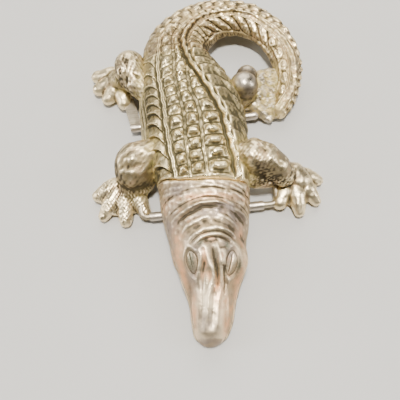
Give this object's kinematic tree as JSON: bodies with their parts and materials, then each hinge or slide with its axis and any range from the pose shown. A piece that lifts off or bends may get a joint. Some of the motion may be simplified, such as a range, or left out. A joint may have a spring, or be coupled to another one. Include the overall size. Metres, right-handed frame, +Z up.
{
  "type": "alligator hair clip",
  "caption": "Figural hair clip: a hollow cast alligator with a curled tail, and under it a hinged tongue that snaps over a cross bar to hold hair.",
  "frame": {"origin": "middle of the resting footprint's bounding box, on the surface the feet stand on", "axes": "+Z up, the snout points along -Y, +X is the viewer's right when the snout points at the viewer"},
  "size_m": [0.0594, 0.0991, 0.0161],
  "materials": {
    "torso_silver": "oxidised cast silver, bright on the scute edges and dark in the grooves",
    "head_silver": "smooth worn silver with a warm tarnish",
    "tail_silver": "oxidised cast silver with grooves and small teeth",
    "leg_silver": "hammered oxidised cast silver",
    "polished_leg_silver": "cast silver, polished on the knee",
    "plate_silver": "satin silver sheet, tarnished",
    "wire_silver": "drawn wire, tarnished",
    "bar_silver": "polished round bar with light scratches",
    "clasp_silver": "satin silver with fine lengthwise scratches",
    "spring_steel": "bright spring strip",
    "rivet_silver": "polished rivet head"
  },
  "bodies": {
    "ornament": {"torso_shell": "torso_silver", "head_shell": "head_silver", "tail": "tail_silver", "leg_front_left": "leg_silver", "leg_front_right": "leg_silver", "leg_rear_left": "leg_silver", "leg_rear_right": "polished_leg_silver", "back_plate": "plate_silver", "front_bar": "wire_silver", "front_bar_sleeve": "bar_silver", "rear_bar": "bar_silver", "rear_bar_strap": "plate_silver", "hinge_ear_left": "plate_silver", "hinge_ear_right": "plate_silver"},
    "clasp": {"clasp_tongue": "clasp_silver", "clasp_knuckle": "clasp_silver", "snap_claw": "clasp_silver", "thumb_tab": "clasp_silver", "tension_spring": "spring_steel", "spring_rivet_front": "rivet_silver", "spring_rivet_rear": "rivet_silver"}
  },
  "joints": [
    {"name": "clasp_hinge", "type": "hinge", "parent": "ornament", "child": "clasp", "pos_m": [-0.0019, 0.0095, 0.0023], "axis": [1, 0, 0], "range_deg": [0, 100]}
  ]
}
